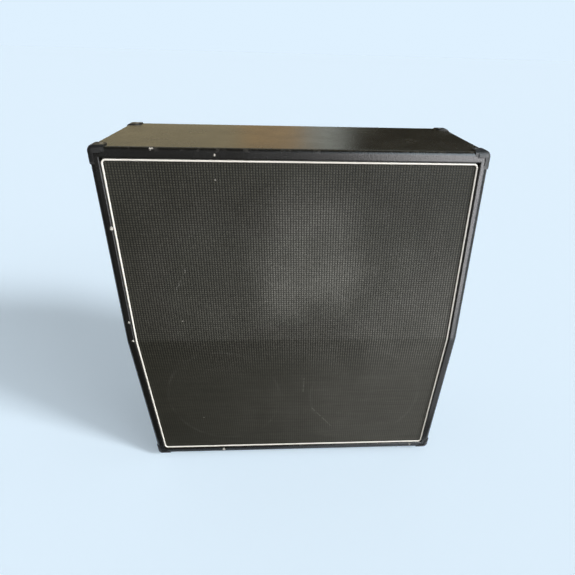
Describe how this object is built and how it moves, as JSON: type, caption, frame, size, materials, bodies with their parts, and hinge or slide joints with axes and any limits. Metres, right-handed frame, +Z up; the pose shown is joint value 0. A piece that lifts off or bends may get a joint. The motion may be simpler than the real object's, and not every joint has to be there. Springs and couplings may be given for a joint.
{
  "type": "guitar speaker cabinet",
  "caption": "Slant-front guitar speaker cabinet: covered plywood box with bent grille, bead and corner protectors, holding twelve-inch speakers, side handles and a rear jack plate.",
  "frame": {"origin": "on the floor, under the middle of the cabinet's box", "axes": "+Z up, the front faces -Y, +X to the right seen from the front"},
  "size_m": [0.7808, 0.3794, 0.7722],
  "materials": {
    "vinyl": "grained black vinyl, satin",
    "plywood": "raw birch plywood",
    "softwood": "planed pine",
    "cloth": "dark woven grille cloth",
    "bead": "off-white flexible bead, satin",
    "corner_plastic": "black moulded plastic",
    "handle_plastic": "black moulded plastic, fine texture",
    "black_screw": "black oxide",
    "plated_steel": "zinc plated",
    "foot_rubber": "moulded rubber",
    "plate_paint": "black powder coat",
    "jack_plastic": "black moulded plastic",
    "nut_chrome": "nickel plated",
    "knob_plastic": "black moulded plastic",
    "frame_paint": "dark grey paint on pressed steel",
    "ferrite": "sintered ferrite",
    "cone_paper": "dark pulp paper",
    "coil_copper": "enamelled copper",
    "treated_cloth": "doped cloth",
    "gasket_cork": "pressed cork",
    "terminal_brown": "paper laminate",
    "lead_insulation": "flexible insulation"
  },
  "bodies": {
    "cabinet": {"shell_covering": "vinyl", "back_covering": "vinyl", "top_panel": "plywood", "bottom_panel": "plywood", "left_side_panel": "plywood", "right_side_panel": "plywood", "back_panel": "plywood", "lower_baffle": "plywood", "upper_baffle": "plywood", "baffle_battens": "softwood", "back_battens": "softwood", "bend_rail": "softwood", "centre_post": "softwood", "grille_cloth": "cloth", "piping": "bead", "front_corner_protectors": "corner_plastic", "rear_corner_protectors": "corner_plastic", "left_handle": "handle_plastic", "right_handle": "handle_plastic", "corner_screws": "black_screw", "fitting_screws": "black_screw", "back_panel_screws": "plated_steel", "back_screw_washers": "plated_steel", "caster_sockets": "plated_steel", "speaker_studs": "plated_steel", "speaker_nuts": "plated_steel", "top_plates": "plated_steel", "yokes": "plated_steel", "feet": "foot_rubber", "jack_plate": "plate_paint", "jack_sockets": "jack_plastic", "selector_switch": "jack_plastic", "jack_nuts": "nut_chrome", "lower_left_frame": "frame_paint", "lower_right_frame": "frame_paint", "upper_left_frame": "frame_paint", "upper_right_frame": "frame_paint", "lower_left_magnet": "ferrite", "lower_right_magnet": "ferrite", "upper_left_magnet": "ferrite", "upper_right_magnet": "ferrite", "cone_surrounds": "treated_cloth", "spiders": "treated_cloth", "speaker_gaskets": "gasket_cork", "terminal_boards": "terminal_brown", "speaker_leads": "lead_insulation"},
    "lower_left_cone_body": {"lower_left_cone": "cone_paper", "lower_left_dust_cap": "cone_paper", "lower_left_voice_coil": "coil_copper"},
    "lower_right_cone_body": {"lower_right_cone": "cone_paper", "lower_right_dust_cap": "cone_paper", "lower_right_voice_coil": "coil_copper"},
    "upper_left_cone_body": {"upper_left_cone": "cone_paper", "upper_left_dust_cap": "cone_paper", "upper_left_voice_coil": "coil_copper"},
    "upper_right_cone_body": {"upper_right_cone": "cone_paper", "upper_right_dust_cap": "cone_paper", "upper_right_voice_coil": "coil_copper"},
    "selector_body": {"selector_slider": "knob_plastic"}
  },
  "joints": [
    {"name": "lower_left_cone_travel", "type": "slide", "parent": "cabinet", "child": "lower_left_cone_body", "axis": [0, -1, 0], "range_m": [-0.003, 0.003], "stiffness_N_per_m": 11000, "deforming": ["cone_surrounds", "spiders"]},
    {"name": "lower_right_cone_travel", "type": "slide", "parent": "cabinet", "child": "lower_right_cone_body", "axis": [0, -1, 0], "range_m": [-0.003, 0.003], "stiffness_N_per_m": 11000, "deforming": ["cone_surrounds", "spiders"]},
    {"name": "upper_left_cone_travel", "type": "slide", "parent": "cabinet", "child": "upper_left_cone_body", "axis": [0, -0.9823, 0.1872], "range_m": [-0.003, 0.003], "stiffness_N_per_m": 11000, "deforming": ["cone_surrounds", "spiders"]},
    {"name": "upper_right_cone_travel", "type": "slide", "parent": "cabinet", "child": "upper_right_cone_body", "axis": [0, -0.9823, 0.1872], "range_m": [-0.003, 0.003], "stiffness_N_per_m": 11000, "deforming": ["cone_surrounds", "spiders"]},
    {"name": "selector_slide", "type": "slide", "parent": "cabinet", "child": "selector_body", "axis": [1, 0, 0], "range_m": [0, 0.005]}
  ]
}
